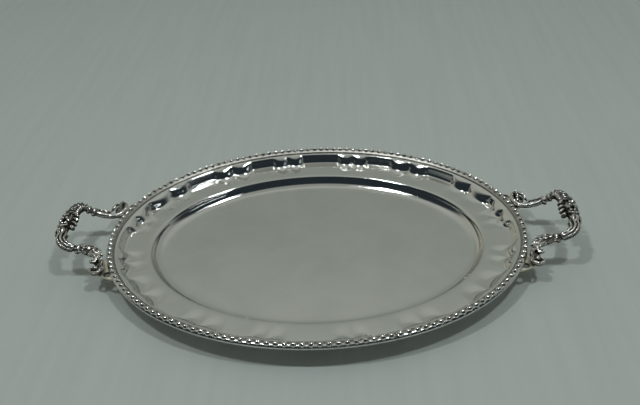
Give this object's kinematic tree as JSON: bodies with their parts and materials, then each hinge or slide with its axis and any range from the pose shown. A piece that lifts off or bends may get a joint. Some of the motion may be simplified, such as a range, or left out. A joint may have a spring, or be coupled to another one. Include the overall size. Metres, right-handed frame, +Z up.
{
  "type": "serving tray",
  "caption": "Oval footless serving tray with a sunk well, a scalloped wall, a beaded rim and a fixed cast scroll handle at each end.",
  "frame": {"origin": "middle of the tray's underside, on the surface it stands on", "axes": "+X along the tray's length towards the right handle, +Y towards its back long side, +Z up"},
  "size_m": [0.498, 0.3092, 0.0445],
  "materials": {
    "pan_plate": "mirror-polished silver plate with fine wiping marks",
    "border_plate": "polished silver plate, darker between the beads",
    "cast_plate": "plated casting, antiqued in its recesses",
    "lug_metal": "dull plated strip",
    "screw_steel": "plain machine screw"
  },
  "bodies": {
    "root": {"tray_pan": "pan_plate", "bead_border": "border_plate", "handle_left": "cast_plate", "handle_right": "cast_plate", "lug_left_front": "lug_metal", "lug_left_back": "lug_metal", "lug_right_front": "lug_metal", "lug_right_back": "lug_metal", "screw_left_front": "screw_steel", "screw_left_back": "screw_steel", "screw_right_front": "screw_steel", "screw_right_back": "screw_steel"}
  },
  "joints": []
}
